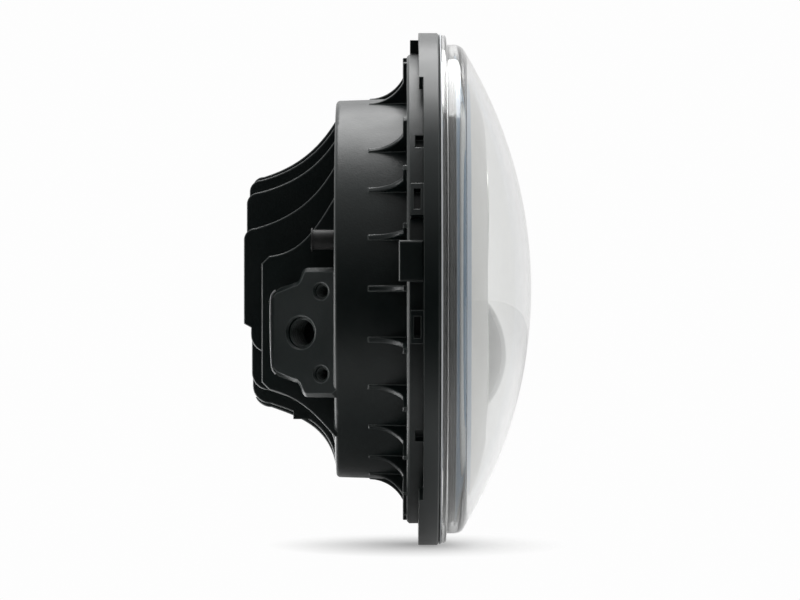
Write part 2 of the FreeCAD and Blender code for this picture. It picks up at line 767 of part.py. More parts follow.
def innerBezel():
    """The silver mask: a shallow drum with a face that has four round openings."""
    inside = bezelSideRadius - bezelWall
    mask = turned((frameFront, inside), [
        (frameFront, bezelSideRadius), (bezelShoulderX, bezelSideRadius),
        ((bezelShoulderX + bezelBulgeX, bezelFaceRadius + bezelBulgeR),
         (bezelFront, bezelFaceRadius)),
        (bezelFront, 0), (bezelBack, 0), (bezelBack, bezelFaceRadius - 0.6),
        ((bezelShoulderX + bezelBulgeX - bezelWall, bezelFaceRadius + bezelBulgeR - 0.6),
         (bezelShoulderX - 0.6, inside))])
    openings = []
    for side in SIDES.values():
        for z, radius in ((lowUnitZ, lowOpening), (highUnitZ, highOpening)):
            mask = mask.fuse(tube(bezelFront - 0.5, bezelFront + collarHeight,
                                  radius + collarWidth, radius, side * unitY, z))
            openings.append(rod(bezelBack - 1, bezelFront + 3, radius, side * unitY, z))
    return mask.cut(openings)


def opticFrame():
    """A flat black ring on the rim with a stepped lip, which carries light ring and bezel."""
    steps = [(rimFront, frameOuterRadius)]
    radius = frameOuterRadius
    for height in frameStepHeights:
        steps += [(frameFront + height, radius), (frameFront + height, radius - frameStepWidth)]
        radius -= frameStepWidth
    steps += [(frameLipFront, radius), (frameLipFront, frameLipInner),
              (frameFront, frameLipInner), (frameFront, frameInnerRadius)]
    ring = turned((rimFront, frameInnerRadius), steps)
    holes = [rod(rimFront - 1, frameFront + 1, smallScrew[0] + screwClearance,
                 *spot(frameScrewCircle, a)) for a in evenAngles(frameScrewCount, frameScrewFirst)]
    return ring.cut(holes)


def ringBoard():
    return tube(frameFront, frameFront + boardThick, ringOuterRadius, bezelSideRadius + ringGap)


def ringLeds():
    """Small LEDs round the ring board, as one group of separate solids."""
    back = frameFront + boardThick
    circle = (ringOuterRadius - 1.0 + bezelSideRadius) / 2
    chip = Part.makeBox(ringLedThick, ringLedSize, ringLedSize,
                        V(back, -circle - ringLedSize / 2, -ringLedSize / 2))
    return Part.makeCompound([around(chip, a) for a in evenAngles(ringLedCount)])


def lightRing():
    """The light guide: its front slopes with the lens, and its head covers the lip."""
    board = frameFront + boardThick
    back = board + ringLedThick + 0.15
    inner = bezelSideRadius + ringGap
    foot = ringOuterRadius - ringFoot
    return turned((back, inner), [
        (bezelShoulderX, inner), (domeX(ringHeadRadius, lensWall) - ringHeadGap, ringHeadRadius),
        (frameLipFront, ringHeadRadius), (frameLipFront, ringOuterRadius),
        (board, ringOuterRadius), (board, foot), (back, foot)])


def carrierPlate():
    """The aluminium plate that all four LED boards are screwed to."""
    disc = rod(plateBack, plateFront, plateRadius)
    holes = [rod(plateBack - 1, plateFront + 1, plateScrew[0] + screwClearance,
                 *spot(pillarCircle, a)) for a in evenAngles(pillarCount)]
    for side in SIDES.values():
        for z in (lowUnitZ, highUnitZ):
            for way in (-1, 1):
                holes.append(rod(ledBoardFront - ledScrewLength - 0.3, plateFront + 1,
                                 smallScrew[0], side * unitY,
                                 z + way * ledScrewSpacing / 2))
    holes += [rod(plateBack - 1, plateFront + 1, plateWireHole, side * plateWireHoleY, 0)
              for side in SIDES.values()]
    return disc.cut(holes)


def ledBoard(side, z):
    """A round board under one light unit, with two screw holes."""
    board = rod(plateFront, ledBoardFront, ledBoardRadius, side * unitY, z)
    holes = [rod(plateFront - 1, ledBoardFront + 1, smallScrew[0] + screwClearance,
                 side * unitY, z + way * ledScrewSpacing / 2) for way in (-1, 1)]
    return board.cut(holes)


def ledChips():
    """The four power LEDs, as one group of separate solids."""
    chips = []
    for side in SIDES.values():
        for z in (lowUnitZ, highUnitZ):
            chips.append(Part.makeBox(ledChipThick, ledChipSize, ledChipSize,
                                      V(ledBoardFront, side * unitY - ledChipSize / 2,
                                        z - ledChipSize / 2)))
    return Part.makeCompound(chips)


def driverBoard():
    """The circuit board round the pedestal."""
    back = wallInside + driverPostHeight
    board = tube(back, back + boardThick, driverBoardRadius, driverBoardHole)
    holes = [rod(back - 1, back + boardThick + 1, smallScrew[0] + screwClearance,
                 *spot(driverPostCircle, a)) for a in driverPostAngles]
    holes.append(rod(back - 1, back + boardThick + 1, inletBore + 3, 0, inletZ - 6))
    return board.cut(holes)


def driverParts():
    """Coils, capacitors and power transistors on the board, as one group."""
    face = wallInside + driverPostHeight + boardThick
    parts = [rod(face, face + coilHeight, coilRadius, *spot(coilCircle, a))
             for a in coilAngles]
    parts += [rod(face, face + capHeight, capRadius, *spot(capCircle, a)) for a in capAngles]
    switch = Part.makeBox(switchThick, switchLong, switchWide,
                          V(face, -switchCircle - switchLong / 2, -switchWide / 2))
    parts += [around(switch, a) for a in switchAngles]
    return Part.makeCompound(parts)


def glandBody():
    """The inlet gland's body: a stem in the boss, a hexagon collar and a sleeve."""
    seat = drumBack - inletBossDepth
    body = rod(seat, wallInside, inletBore - glandFit, 0, inletZ)
    body = body.fuse([hexRod(seat - glandCollarDepth, seat, glandCollarWidth, 0, inletZ),
                      rod(seat - glandCollarDepth - glandSleeveDepth, seat,
                          glandSleeveRadius, 0, inletZ)])
    return body.cut(rod(seat - 30, wallInside + 1, glandBore, 0, inletZ))


def glandNut():
    """The cap nut over the sleeve, with a rounded end and a round mouth."""
    front = drumBack - inletBossDepth - glandCollarDepth
    back = front - glandNutDepth
    nut = hexRod(back, front, glandNutWidth, 0, inletZ)
    ball = turned((back, 0), [(back, glandNutWidth * 0.42),
                              (back + 1.6, glandNutWidth * 0.52),
                              (back + 3.2, glandNutWidth * 0.6), (front, glandNutWidth * 0.6),
                              (front, 0)])
    ball.translate(V(0, 0, inletZ))
    nut = nut.common(ball)
    inside = rod(back + glandNutEnd, front + 1, glandSleeveRadius + glandFit, 0, inletZ)
    return nut.cut([inside, rod(back - 1, front + 1, glandBore, 0, inletZ)])


def grommet():
    """The rubber ring that the cable would pass through."""
    front = drumBack - inletBossDepth - glandCollarDepth - glandSleeveDepth
    return tube(front - (glandNutDepth - glandSleeveDepth - glandNutEnd), front,
                glandSleeveRadius - 0.1, grommetBore, 0, inletZ)


def breatherVent():
    """A small pressure vent: a round cap on a stem through the rear wall."""
    end = drumBack - ventDepth
    cap = turned((drumBack, 0), [(drumBack, ventRadius), (end + ventDiscThick, ventRadius),
                                 (end + ventDiscThick, ventRadius + ventDisc),
                                 (end, ventRadius + ventDisc), (end, 0)])
    cap.translate(V(0, ventY, ventZ))
    return cap.fuse(rod(drumBack, wallInside + 0.5, ventStem, ventY, ventZ))


def screwGroup(size, length, seatX, places, facing):
    return Part.makeCompound([screw(size, length, seatX, y, z, facing) for y, z in places])


def buildAll():
    """Every node of the lamp, by name."""
    nodes = {
        "heat_sink_housing": housing(),
        "rim_ring": rimRing(),
        "lens_cover": lensCover(),
        "lens_seal": tube(rimFront, lensBack, lensFlangeRadius - lensSealInset,
                          lensInnerRadius),
        "housing_seal": tube(rimBack - sealDepth, rimBack, sealOuterRadius, sealInnerRadius),
        "optic_frame": opticFrame(),
        "light_ring_board": ringBoard(),
        "light_ring_leds": ringLeds(),
        "light_ring": lightRing(),
        "inner_bezel": innerBezel(),
        "carrier_plate": carrierPlate(),
        "led_chips": ledChips(),
        "driver_board": driverBoard(),
        "driver_parts": driverParts(),
        "gland_body": glandBody(),
        "gland_nut": glandNut(),
        "gland_grommet": grommet(),
        "breather_vent": breatherVent(),
    }
    for name, side in SIDES.items():
        nodes["low_beam_lens_" + name] = lowBeamLens(side)
        nodes["low_beam_holder_" + name] = lowBeamHolder(side)
        nodes["high_beam_reflector_" + name] = reflector(side)
        nodes["low_beam_board_" + name] = ledBoard(side, lowUnitZ)
        nodes["high_beam_board_" + name] = ledBoard(side, highUnitZ)
    nodes["rim_screws"] = screwGroup(
        rimScrew, rimScrewLength, flangeBack + counterboreDepth,
        [spot(rimScrewCircle, a) for a in evenAngles(rimScrewCount, rimScrewFirst)], -1)
    nodes["frame_screws"] = screwGroup(
        smallScrew, frameScrewLength, frameFront,
        [spot(frameScrewCircle, a) for a in evenAngles(frameScrewCount, frameScrewFirst)], 1)
    nodes["plate_screws"] = screwGroup(
        plateScrew, plateScrewLength, plateFront,
        [spot(pillarCircle, a) for a in evenAngles(pillarCount)], 1)
    nodes["driver_screws"] = screwGroup(
        smallScrew, driverScrewLength, wallInside + driverPostHeight + boardThick,
        [spot(driverPostCircle, a) for a in driverPostAngles], 1)
    nodes["led_screws"] = screwGroup(
        smallScrew, ledScrewLength, ledBoardFront,
        [(side * unitY, z + way * ledScrewSpacing / 2) for side in SIDES.values()
         for z in (lowUnitZ, highUnitZ) for way in (-1, 1)], 1)
    return nodes


os.makedirs("parts", exist_ok=True)
for nodeName, nodeShape in buildAll().items():
    nodeShape.exportStep("parts/" + nodeName + ".step")
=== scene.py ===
import json
import math

import bpy
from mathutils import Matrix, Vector


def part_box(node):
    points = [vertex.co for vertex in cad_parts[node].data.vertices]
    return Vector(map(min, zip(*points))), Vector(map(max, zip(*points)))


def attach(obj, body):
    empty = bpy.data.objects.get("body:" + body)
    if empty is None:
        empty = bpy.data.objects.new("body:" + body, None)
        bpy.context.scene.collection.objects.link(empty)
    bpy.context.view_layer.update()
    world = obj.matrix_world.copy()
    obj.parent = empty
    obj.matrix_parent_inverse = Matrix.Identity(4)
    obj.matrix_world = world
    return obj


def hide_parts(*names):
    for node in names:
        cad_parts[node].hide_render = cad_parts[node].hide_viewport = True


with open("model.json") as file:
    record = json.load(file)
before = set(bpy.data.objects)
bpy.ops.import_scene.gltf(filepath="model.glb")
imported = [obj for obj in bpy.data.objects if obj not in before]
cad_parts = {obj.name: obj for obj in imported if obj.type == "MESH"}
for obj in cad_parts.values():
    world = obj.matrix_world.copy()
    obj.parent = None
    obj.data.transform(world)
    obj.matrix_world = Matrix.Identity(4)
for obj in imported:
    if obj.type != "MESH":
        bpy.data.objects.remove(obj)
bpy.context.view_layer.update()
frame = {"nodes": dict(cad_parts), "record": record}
cadNodes = frame["nodes"]
print("frame loaded:", len(cadNodes), "nodes")


def newFinish(name):
    finish = bpy.data.materials.new(name)
    finish.use_nodes = True
    tree = finish.node_tree
    tree.nodes.clear()
    output = tree.nodes.new("ShaderNodeOutputMaterial")
    shader = tree.nodes.new("ShaderNodeBsdfPrincipled")
    tree.links.new(shader.outputs["BSDF"], output.inputs["Surface"])
    return finish, tree, shader, output


def noiseAt(tree, place, scale, detail, roughness=0.55):
    # a noise on the object's own coordinates, in patches of about 1/scale metres
    noise = tree.nodes.new("ShaderNodeTexNoise")
    noise.inputs["Scale"].default_value = scale
    noise.inputs["Detail"].default_value = detail
    noise.inputs["Roughness"].default_value = roughness
    tree.links.new(place.outputs["Object"], noise.inputs["Vector"])
    return noise


def rampOf(tree, source, low, high, start=0.35, end=0.65):
    # the source's range from start to end spread from low to high, held outside it
    ramp = tree.nodes.new("ShaderNodeMapRange")
    ramp.inputs["From Min"].default_value = start
    ramp.inputs["From Max"].default_value = end
    ramp.inputs["To Min"].default_value = low
    ramp.inputs["To Max"].default_value = high
    tree.links.new(source, ramp.inputs["Value"])
    return ramp.outputs["Result"]


def mathOf(tree, operation, first, second):
    # first and second are numbers or the outputs of other nodes
    node = tree.nodes.new("ShaderNodeMath")
    node.operation = operation
    for index, part in enumerate((first, second)):
        if isinstance(part, float):
            node.inputs[index].default_value = part
        else:
            tree.links.new(part, node.inputs[index])
    return node.outputs["Value"]


def mixedColour(tree, source, first, second):
    # first and second are colours or the outputs of other nodes
    mix = tree.nodes.new("ShaderNodeMix")
    mix.data_type = "RGBA"
    for socket, colour in (("A", first), ("B", second)):
        if isinstance(colour, tuple):
            mix.inputs[socket].default_value = (*colour, 1.0)
        else:
            tree.links.new(colour, mix.inputs[socket])
    tree.links.new(source, mix.inputs["Factor"])
    return mix.outputs["Result"]


# a lighter colour on edges, partly wear and partly a painted highlight: fullAt and startsAt are
# cosines between the rounded and the flat normal, the next share is that of the least marked
# patch, and roughness is the share of it left on an edge
edgeLook = {"samples": 6, "fullAt": 0.90, "startsAt": 0.995, "leastMarked": 0.6, "roughness": 0.45}


def roundEdges(tree, radius):
    # the normal of an edge rounded to this radius, and how far a point is on such an edge
    bevel = tree.nodes.new("ShaderNodeBevel")
    bevel.samples = edgeLook["samples"]
    bevel.inputs["Radius"].default_value = radius
    flat = tree.nodes.new("ShaderNodeNewGeometry")
    turn = tree.nodes.new("ShaderNodeVectorMath")
    turn.operation = "DOT_PRODUCT"
    tree.links.new(bevel.outputs["Normal"], turn.inputs[0])
    tree.links.new(flat.outputs["Normal"], turn.inputs[1])
    onEdge = rampOf(tree, turn.outputs["Value"], 1.0, 0.0, edgeLook["fullAt"],
                    edgeLook["startsAt"])
    return bevel.outputs["Normal"], onEdge


def grainOn(tree, place, shader, grain, normal=None):
    # several layers of fine relief, each (patches per metre, depth in metres, detail)
    for scale, depth, detail in grain:
        noise = noiseAt(tree, place, scale, detail)
        bump = tree.nodes.new("ShaderNodeBump")
        bump.inputs["Strength"].default_value = 1.0
        bump.inputs["Distance"].default_value = depth
        tree.links.new(noise.outputs["Fac"], bump.inputs["Height"])
        if normal is not None:
            tree.links.new(normal, bump.inputs["Normal"])
        normal = bump.outputs["Normal"]
    if normal is not None:
        tree.links.new(normal, shader.inputs["Normal"])


# patches vary the colour, smears the roughness
noiseLook = {"patchDetail": 4.0, "smearDetail": 5.0, "smearRoughness": 0.6, "smears": 90.0}


def smearsOn(tree, place, look):
    smears = look.get("smears", noiseLook["smears"])
    return noiseAt(tree, place, smears, noiseLook["smearDetail"], noiseLook["smearRoughness"])


def makeFinish(name, look):
    finish, tree, shader, output = newFinish(name)
    place = tree.nodes.new("ShaderNodeTexCoord")
    patches = noiseAt(tree, place, look["patches"], noiseLook["patchDetail"])
    blend = rampOf(tree, patches.outputs["Fac"], 0.0, 1.0)
    colour = mixedColour(tree, blend, *look["colours"])
    normal = None
    if "edge" in look:
        normal, onEdge = roundEdges(tree, look["edge"])
        # the lighter edge colour is partly wear and partly a painted highlight
        patchWearAndHighlight = rampOf(tree, patches.outputs["Fac"], edgeLook["leastMarked"], 1.0)
        wearAndHighlight = mathOf(tree, "MULTIPLY", onEdge, patchWearAndHighlight)
        colour = mixedColour(tree, wearAndHighlight, colour, look["edgeWearAndHighlight"])
    tree.links.new(colour, shader.inputs["Base Color"])
    smears = smearsOn(tree, place, look)
    roughness = rampOf(tree, smears.outputs["Fac"], *look["roughness"])
    if "edge" in look:
        smoother = rampOf(tree, onEdge, 1.0, edgeLook["roughness"], 0.0, 1.0)
        roughness = mathOf(tree, "MULTIPLY", roughness, smoother)
    tree.links.new(roughness, shader.inputs["Roughness"])
    for socket, value in look.get("sockets", {}).items():
        shader.inputs[socket].default_value = value
    grainOn(tree, place, shader, look.get("grain", []), normal)
    return finish


# where a finish has an edge colour, it is a lighter colour along its edges: partly wear, partly a
# painted highlight
finishes = {
    # powder coat over a die casting, a little worn along its edges, with a painted highlight there
    # too
    "cast_black": {
        "colours": ((0.0012, 0.0072, 0.0070), (0.0026, 0.0094, 0.0088)), "patches": 160.0,
        "roughness": (0.37, 0.44), "smears": 70.0, "sockets": {"Specular IOR Level": 0.7},
        "edge": 0.00055, "edgeWearAndHighlight": (0.140, 0.160, 0.153),
        "grain": [(1500.0, 0.00004, 2.0), (420.0, 0.00003, 2.0)],
    },
    # smoother coat on the band
    "rim_black": {
        "colours": ((0.0012, 0.0070, 0.0070), (0.0026, 0.0092, 0.0090)), "patches": 120.0,
        "roughness": (0.34, 0.40), "smears": 60.0, "sockets": {"Specular IOR Level": 0.7},
        "edge": 0.00040, "edgeWearAndHighlight": (0.110, 0.125, 0.120),
        "grain": [(2200.0, 0.00002, 2.0)],
    },
    "seal_rubber": {
        "colours": ((0.008, 0.008, 0.008), (0.014, 0.014, 0.014)), "patches": 300.0,
        "roughness": (0.72, 0.86), "grain": [(2500.0, 0.00002, 2.0)],
    },
    # bright vacuum-coated plastic
    "bezel_silver": {
        "colours": ((0.60, 0.60, 0.58), (0.65, 0.65, 0.63)), "patches": 40.0,
        "roughness": (0.285, 0.33), "smears": 50.0, "sockets": {"Metallic": 0.85},
        "edge": 0.0003, "edgeWearAndHighlight": (0.74, 0.74, 0.72),
    },
    "frame_black": {
        "colours": ((0.004, 0.007, 0.006), (0.009, 0.013, 0.011)), "patches": 200.0,
        "roughness": (0.35, 0.48), "grain": [(1800.0, 0.00001, 2.0)],
        "edge": 0.0002, "edgeWearAndHighlight": (0.050, 0.062, 0.056),
    },
    "board_white": {
        "colours": ((0.84, 0.87, 0.89), (0.88, 0.91, 0.93)), "patches": 250.0,
        "roughness": (0.35, 0.50), "grain": [(1200.0, 0.00001, 2.0)],
    },
    "board_green": {
        "colours": ((0.010, 0.060, 0.028), (0.018, 0.095, 0.045)), "patches": 300.0,
        "roughness": (0.28, 0.42), "grain": [(1400.0, 0.00001, 2.0)],
    },
    "led_yellow": {
        "colours": ((0.80, 0.58, 0.08), (0.88, 0.70, 0.14)), "patches": 700.0,
        "roughness": (0.30, 0.45), "grain": [(4000.0, 0.00001, 2.0)],
    },
    "holder_black": {
        "colours": ((0.010, 0.010, 0.011), (0.018, 0.018, 0.019)), "patches": 180.0,
        "roughness": (0.42, 0.58), "grain": [(1600.0, 0.00002, 2.0)],
    },
    "reflector_bright": {
        "colours": ((0.84, 0.85, 0.86), (0.90, 0.91, 0.92)), "patches": 60.0,
        "roughness": (0.06, 0.11), "smears": 80.0, "sockets": {"Metallic": 1.0},
        "grain": [(700.0, 0.000002, 2.0)],
    },
    # milled aluminium
    "plate_metal": {
        "colours": ((0.76, 0.77, 0.78), (0.86, 0.87, 0.88)), "patches": 90.0,
        "roughness": (0.29, 0.42), "sockets": {"Metallic": 1.0},
        "grain": [(1100.0, 0.00001, 2.0)],
    },
    "driver_dark": {
        "colours": ((0.012, 0.012, 0.014), (0.030, 0.030, 0.032)), "patches": 150.0,
        "roughness": (0.35, 0.60), "grain": [(1500.0, 0.00002, 2.0)],
    },
    "gland_black": {
        "colours": ((0.010, 0.010, 0.010), (0.018, 0.018, 0.018)), "patches": 200.0,
        "roughness": (0.40, 0.55), "grain": [(1500.0, 0.00003, 2.0)],
        "edge": 0.0003, "edgeWearAndHighlight": (0.040, 0.040, 0.040),
    },
    "vent_black": {
        "colours": ((0.014, 0.014, 0.014), (0.024, 0.024, 0.024)), "patches": 260.0,
        "roughness": (0.50, 0.65), "grain": [(2000.0, 0.00003, 2.0)],
        "edge": 0.0003, "edgeWearAndHighlight": (0.050, 0.050, 0.050),
    },
    "screw_steel": {
        "colours": ((0.42, 0.42, 0.40), (0.55, 0.55, 0.53)), "patches": 400.0,
        "roughness": (0.29, 0.42), "sockets": {"Metallic": 1.0},
        "grain": [(2500.0, 0.00001, 2.0)],
    },
    # frosted diffuser over the ring of light sources; its near-white edge colour is a painted
    # highlight
    "light_guide": {
        "colours": ((0.29, 0.42, 0.58), (0.32, 0.45, 0.61)), "patches": 60.0,
        "roughness": (0.285, 0.34), "smears": 60.0,
        "edge": 0.0007, "edgeWearAndHighlight": (0.90, 0.95, 0.98),
        "grain": [(1200.0, 0.000004, 2.0)],
    },
}


def makeClear(name, look):
    # clear plastic or glass that lets the lamps through to what it covers
    finish, tree, shader, output = newFinish(name)
    place = tree.nodes.new("ShaderNodeTexCoord")
    smears = smearsOn(tree, place, look)
    tree.links.new(rampOf(tree, smears.outputs["Fac"], *look["roughness"]),
                   shader.inputs["Roughness"])
    colour = mixedColour(tree, smears.outputs["Fac"], *look["colours"])
    if "edgeOn" in look:
        # the way through the wall is longer where it is seen edge-on
        slant = tree.nodes.new("ShaderNodeLayerWeight")
        edgeOn = rampOf(tree, slant.outputs["Facing"], 0.0, 1.0, *look["slant"])
        colour = mixedColour(tree, edgeOn, colour, look["edgeOn"])
    tree.links.new(colour, shader.inputs["Base Color"])
    shader.inputs["IOR"].default_value = look["ior"]
    shader.inputs["Transmission Weight"].default_value = look["transmission"]
    through = tree.nodes.new("ShaderNodeBsdfTransparent")
    through.inputs["Color"].default_value = (*look["through"], 1.0)
    path = tree.nodes.new("ShaderNodeLightPath")
    mix = tree.nodes.new("ShaderNodeMixShader")
    lit = mathOf(tree, "MAXIMUM", path.outputs["Is Shadow Ray"], path.outputs["Is Diffuse Ray"])
    tree.links.new(lit, mix.inputs["Fac"])
    tree.links.new(shader.outputs["BSDF"], mix.inputs[1])
    tree.links.new(through.outputs["BSDF"], mix.inputs[2])
    tree.links.new(mix.outputs["Shader"], output.inputs["Surface"])
    return finish


clearLooks = {
    "clear_cover": {
        "colours": ((0.875, 0.880, 0.875), (0.895, 0.900, 0.895)), "through": (0.90, 0.90, 0.89),
        "roughness": (0.020, 0.035), "smears": 30.0, "ior": 1.585, "transmission": 1.0,
        "edgeOn": (0.765, 0.770, 0.770), "slant": (0.60, 0.85),
    },
    "optic_clear": {
        "colours": ((0.50, 0.51, 0.50), (0.54, 0.55, 0.54)), "through": (0.80, 0.81, 0.80),
        "roughness": (0.02, 0.05), "smears": 40.0, "ior": 1.52, "transmission": 0.58,
    },
}

made = {name: makeFinish(name, look) for name, look in finishes.items()}
made.update({name: makeClear(name, look) for name, look in clearLooks.items()})
print("finishes made:", len(made))


def paint(piece, slotName):
    piece.data.materials.clear()
    piece.data.materials.append(made[slotName])


slotOf = {entry["node"]: entry["material_slot"] for entry in frame["record"]["subparts"]}
for nodeName, node in cadNodes.items():
    node.data.materials[0] = made[slotOf[nodeName]]
print("nodes painted")


# the first plane is only there to be merged into a point; points closer than these are one
drawLook = {"firstPlane": 0.001, "sameOnLine": 0.000001, "sameOnTurn": 0.000002}


def pickNone():
    if bpy.context.mode != "OBJECT":
        bpy.ops.object.mode_set(mode="OBJECT")
    bpy.ops.object.select_all(action="DESELECT")


def pickOnly(piece):
    pickNone()
    piece.select_set(True)
    bpy.context.view_layer.objects.active = piece


def applyModifier(piece, kind, **settings):
    pickOnly(piece)
    modifier = piece.modifiers.new(kind.lower(), kind)
    for key, value in settings.items():
        setattr(modifier, key, value)
    bpy.ops.object.modifier_apply(modifier=modifier.name)


def drawnLine(pieceName, points):
    # one vertex pulled along an outline of (x, radius) points in the XZ plane
    pickNone()
    bpy.ops.mesh.primitive_plane_add(size=drawLook["firstPlane"], location=(0, 0, 0))
    piece = bpy.context.object
    piece.name = pieceName
    bpy.ops.object.mode_set(mode="EDIT")
    bpy.ops.mesh.select_all(action="SELECT")
    bpy.ops.mesh.merge(type="CENTER")
    here = points[0]
    bpy.ops.transform.translate(value=(here[0], 0.0, here[1]))
    for point in points[1:]:
        pull = (point[0] - here[0], 0.0, point[1] - here[1])
        bpy.ops.mesh.extrude_region_move(TRANSFORM_OT_translate={"value": pull})
        here = point
    return piece


def turnedPiece(pieceName, points, look, centre=(0.0, 0.0, 0.0)):
    # the outline spun once about a line along X through the centre, closed and merged
    piece = drawnLine(pieceName, points + points[:1])
    bpy.ops.mesh.select_all(action="SELECT")
    bpy.ops.mesh.remove_doubles(threshold=drawLook["sameOnLine"])
    bpy.ops.mesh.spin(steps=look["steps"], angle=2 * math.pi, center=(0, 0, 0), axis=(1, 0, 0))
    bpy.ops.mesh.select_all(action="SELECT")
    bpy.ops.mesh.remove_doubles(threshold=drawLook["sameOnTurn"])
    bpy.ops.mesh.normals_make_consistent(inside=False)
    bpy.ops.transform.translate(value=centre)
    bpy.ops.object.mode_set(mode="OBJECT")
    pickOnly(piece)
    bpy.ops.object.shade_smooth_by_angle(angle=math.radians(look["smooth"]))
    return piece


def finishPiece(piece, nodeNames, slotName):
    paint(piece, slotName)
    if nodeNames:
        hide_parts(*nodeNames)
    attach(piece, "root")
    print(piece.name, "has", len(piece.data.polygons), "faces")


lensLook = {
    "back": 0.00325, "flangeRadius": 0.0883, "flangeFront": 0.00535, "flangeRound": 0.0009,
    "outer": 0.0850, "domeRadius": 0.1588, "apex": 0.03505, "corner": 0.0040,
    "inner": 0.0826, "innerFront": 0.01107, "innerRound": 0.0003, "wall": 0.0024,
    "domeStart": 0.0103, "footCut": 0.0005, "fillet": 0.0005, "innerTilt": -0.3,
    "steps": 256, "domeRings": 40, "flangeSteps": 6, "filletSteps": 4, "cornerSteps": 12,
    "innerSteps": 5, "smooth": 30.0,
}


def lensProfile(look):
    # (x, radius) of the cover's half section: up the outside, then back along the inside
    centre = look["apex"] - look["domeRadius"]
    outer = look["outer"]

    def dome(radius, tilt):
        return [(centre + radius * math.cos(tilt * i / look["domeRings"]),
                 radius * math.sin(tilt * i / look["domeRings"]))
                for i in range(look["domeRings"] - 1, -1, -1)]

    def turn(x, r, radius, start, end, steps):
        return [(x + radius * math.cos(start + (end - start) * i / steps),
                 r + radius * math.sin(start + (end - start) * i / steps))
                for i in range(steps + 1)]

    rounded = look["flangeRound"]
    front = look["flangeFront"]
    edge = [(look["back"], look["flangeRadius"] - look["footCut"]),
            (look["back"] + look["footCut"], look["flangeRadius"])]
    for i in range(look["flangeSteps"] + 1):
        a = math.pi / 2 * i / look["flangeSteps"]
        edge.append((front - rounded + rounded * math.sin(a),
                     look["flangeRadius"] - rounded + rounded * math.cos(a)))
    fillet = look["fillet"]
    for i in range(look["filletSteps"] + 1):
        a = math.pi / 2 * i / look["filletSteps"]
        edge.append((front + fillet - fillet * math.cos(a), outer + fillet - fillet * math.sin(a)))
    corner = outer - look["corner"]
    cornerX = centre + math.sqrt((look["domeRadius"] - look["corner"]) ** 2 - corner ** 2)
    tilt = math.atan2(corner, cornerX - centre)
    shoulder = turn(cornerX, corner, look["corner"], math.pi / 2, tilt, look["cornerSteps"])
    outside = edge + shoulder + dome(look["domeRadius"], tilt)
    innerDome = look["domeRadius"] - look["wall"]
    startX = look["domeStart"] - centre
    rounded = look["innerRound"]
    inside = (turn(look["innerFront"] - rounded, look["inner"] - rounded, rounded,
                   math.pi / 2, look["innerTilt"], look["innerSteps"])
              + [(look["domeStart"], math.sqrt(innerDome ** 2 - startX ** 2))]
              + dome(innerDome, math.acos(startX / innerDome)))
    return outside + inside[::-1] + [(look["back"], look["inner"])]


cover = turnedPiece("lens_dome", lensProfile(lensLook), lensLook)
finishPiece(cover, ["lens_cover"], "clear_cover")

# the frosted ring round the bezel: a skirt over the frame's lip, a ridge and a sloping face
ringLook = {
    "back": 0.0076, "front": 0.01179, "inner": 0.0753, "neck": 0.07935, "lipFront": 0.0088,
    "skirt": 0.0081, "skirtInner": 0.08062, "outer": 0.0811, "ridge": 0.0097, "foot": 0.0765,
    "round": 0.0004, "ridgeTurn": 65, "ridgeSteps": 5, "lipShare": 1.5, "steps": 200,
    "smooth": 25.0,
}


def ringProfile(look):
    rounded = look["round"]
    points = [(look["back"], look["inner"]), (look["back"], look["neck"]),
              (look["lipFront"], look["neck"]), (look["lipFront"], look["skirtInner"]),
              (look["skirt"], look["skirtInner"]), (look["skirt"], look["outer"])]
    for i in range(look["ridgeSteps"] + 1):
        a = math.radians(90 - look["ridgeTurn"] * i / look["ridgeSteps"])
        points.append((look["ridge"] - rounded + rounded * math.cos(a),
                       look["outer"] - rounded + rounded * math.sin(a)))
    points.append((look["front"] - rounded, look["foot"]))
    points.append((look["front"], look["foot"] - rounded * look["lipShare"]))
    points.append((look["front"], look["inner"]))
    return points


guide = turnedPiece("light_guide_ring", ringProfile(ringLook), ringLook)
finishPiece(guide, ["light_ring"], "light_guide")


def lineRound(pieceName, look):
    # a ring of oval section round the optical axis
    points = []
    for i in range(look["sides"]):
        a = math.pi * 2 * i / look["sides"]
        points.append((look["middle"] + look["halfWide"] * math.cos(a),
                       look["radius"] + look["halfHigh"] * math.sin(a)))
    return turnedPiece(pieceName, points, look)


# a thin white bead between the rim and the cover: a painted highlight on the cover flange's edge
highlightBeadLook = {"middle": 0.00322, "radius": 0.08825, "halfWide": 0.00028, "halfHigh": 0.00050,
            "sides": 12, "steps": 200, "smooth": 60.0}
highlightBead = lineRound("cover_highlight_bead", highlightBeadLook)
finishPiece(highlightBead, [], "board_white")

# a white ring round the skirt of the frosted ring: a painted highlight on the ring's edge
highlightHoopLook = {"middle": 0.00908, "radius": 0.0811, "halfWide": 0.00034, "halfHigh": 0.00036,
            "sides": 10, "steps": 200, "smooth": 60.0}
highlightHoop = lineRound("light_guide_highlight_line", highlightHoopLook)
finishPiece(highlightHoop, [], "board_white")

sides = (("left", 1.0), ("right", -1.0))

